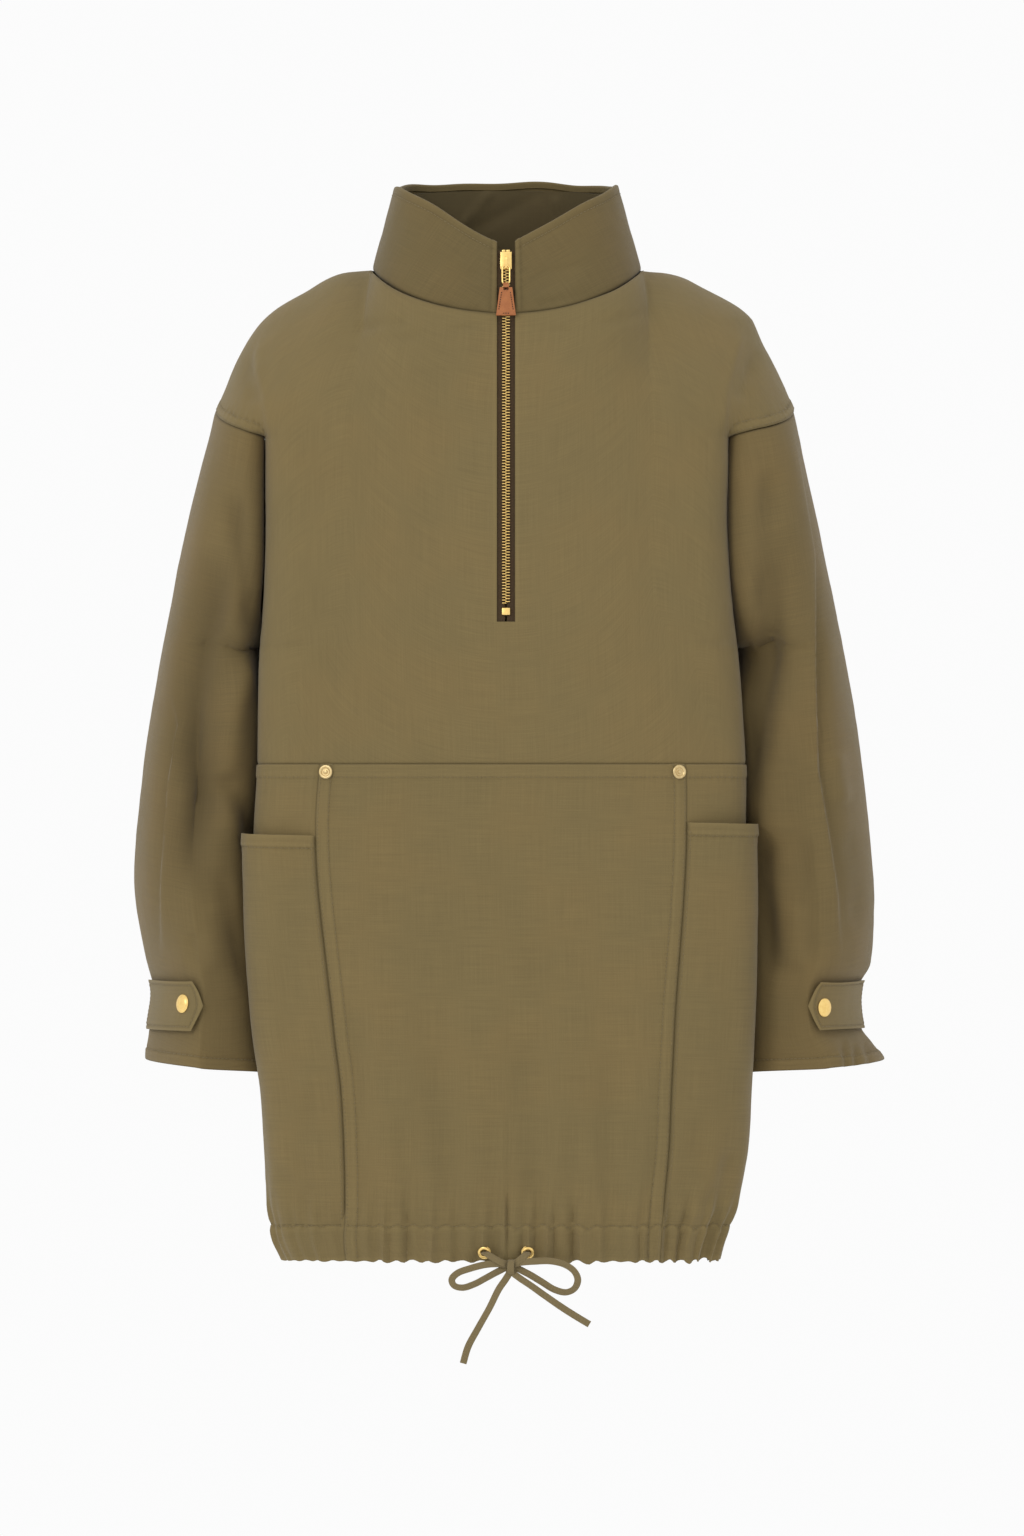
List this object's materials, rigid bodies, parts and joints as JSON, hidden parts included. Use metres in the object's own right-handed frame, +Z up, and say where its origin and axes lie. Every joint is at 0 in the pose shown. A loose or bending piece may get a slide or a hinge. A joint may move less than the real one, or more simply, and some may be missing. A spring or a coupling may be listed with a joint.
{
  "type": "half-zip smock jacket",
  "caption": "Loose pull-on cloth jacket with a funnel collar, half-length front zip, drop shoulders, cuff tabs, side patch pockets and a drawcord hem.",
  "frame": {"origin": "centre of the neck, level with the inner ends of the shoulder seams", "axes": "+Z up along the standing jacket, the front towards -Y, and +X to the right as seen from the front"},
  "size_m": [0.5764, 0.248, 0.9274],
  "materials": {
    "olive_cloth": "matt cotton and linen plain weave, olive",
    "olive_sleeve_cloth": "the same cloth on the sleeves, in softer light",
    "olive_collar_cloth": "the same cloth on the collar",
    "olive_inner_cloth": "inside face of the olive cloth",
    "olive_cord": "flat woven cord, olive",
    "brown_tape": "dark brown herringbone zip tape",
    "gold_metal": "polished gold-coloured metal",
    "pale_gold_metal": "satin pale gold metal",
    "tan_leather": "smooth tan leather"
  },
  "bodies": {
    "shell": {"front_chest_panel": "olive_cloth", "upper_back_panel": "olive_cloth", "lower_front_panel": "olive_cloth", "lower_back_panel": "olive_cloth", "hem_casing": "olive_inner_cloth", "collar_outer": "olive_collar_cloth", "collar_facing": "olive_inner_cloth", "zip_bottom_stop": "gold_metal", "lower_side_panel_left": "olive_cloth", "pocket_left": "olive_cloth", "rivet_cap_left": "pale_gold_metal", "rivet_burr_left": "pale_gold_metal", "eyelet_left": "gold_metal", "eyelet_washer_left": "gold_metal", "zip_tape_left": "brown_tape", "zip_facing_left": "olive_inner_cloth", "zip_chain_left": "gold_metal", "zip_top_stop_left": "gold_metal", "lower_side_panel_right": "olive_cloth", "pocket_right": "olive_cloth", "rivet_cap_right": "pale_gold_metal", "rivet_burr_right": "pale_gold_metal", "eyelet_right": "gold_metal", "eyelet_washer_right": "gold_metal", "zip_tape_right": "brown_tape", "zip_facing_right": "olive_inner_cloth", "zip_chain_right": "gold_metal", "zip_top_stop_right": "gold_metal", "drawcord_channel": "olive_cord", "drawcord_knot": "olive_cord", "drawcord_lead_left": "olive_cord", "drawcord_lead_right": "olive_cord", "drawcord_loop_left": "olive_cord", "drawcord_loop_right": "olive_cord", "drawcord_tail_left": "olive_cord", "drawcord_tail_right": "olive_cord"},
    "sleeve_left": {"sleeve_front_left": "olive_sleeve_cloth", "sleeve_back_left": "olive_sleeve_cloth", "snap_stud_left": "gold_metal", "snap_post_left": "gold_metal"},
    "cuff_tab_left": {"cuff_tab_left": "olive_cloth", "snap_cap_left": "gold_metal", "snap_socket_left": "gold_metal"},
    "sleeve_right": {"sleeve_front_right": "olive_sleeve_cloth", "sleeve_back_right": "olive_sleeve_cloth", "snap_stud_right": "gold_metal", "snap_post_right": "gold_metal"},
    "cuff_tab_right": {"cuff_tab_right": "olive_cloth", "snap_cap_right": "gold_metal", "snap_socket_right": "gold_metal"},
    "zip_slider": {"zip_slider": "gold_metal"},
    "zip_pull": {"zip_pull": "gold_metal"},
    "pull_tab": {"pull_tab": "tan_leather"}
  },
  "joints": [
    {"name": "zip_slide", "type": "slide", "parent": "shell", "child": "zip_slider", "axis": [0, -0.1425, -0.9898], "range_m": [0, 0.2671]},
    {"name": "zip_pull_swing", "type": "hinge", "parent": "zip_slider", "child": "zip_pull", "pos_m": [0, -0.08877, -0.00175], "axis": [-1, 0, 0], "range_deg": [0, 130]},
    {"name": "pull_tab_swing", "type": "hinge", "parent": "zip_pull", "child": "pull_tab", "pos_m": [0, -0.0909, -0.0166], "axis": [-1, 0, 0], "range_deg": [0, 50]},
    {"name": "sleeve_lift_left", "type": "hinge", "parent": "shell", "child": "sleeve_left", "pos_m": [-0.229, -0.01, -0.11], "axis": [0, 1, 0], "range_deg": [0, 40]},
    {"name": "cuff_tab_open_left", "type": "hinge", "parent": "sleeve_left", "child": "cuff_tab_left", "pos_m": [-0.2811, -0.01475, -0.581], "axis": [0, 0, -1], "range_deg": [0, 85]},
    {"name": "sleeve_lift_right", "type": "hinge", "parent": "shell", "child": "sleeve_right", "pos_m": [0.229, -0.01, -0.11], "axis": [0, -1, 0], "range_deg": [0, 40]},
    {"name": "cuff_tab_open_right", "type": "hinge", "parent": "sleeve_right", "child": "cuff_tab_right", "pos_m": [0.2811, -0.01475, -0.581], "axis": [0, 0, 1], "range_deg": [0, 85]}
  ]
}
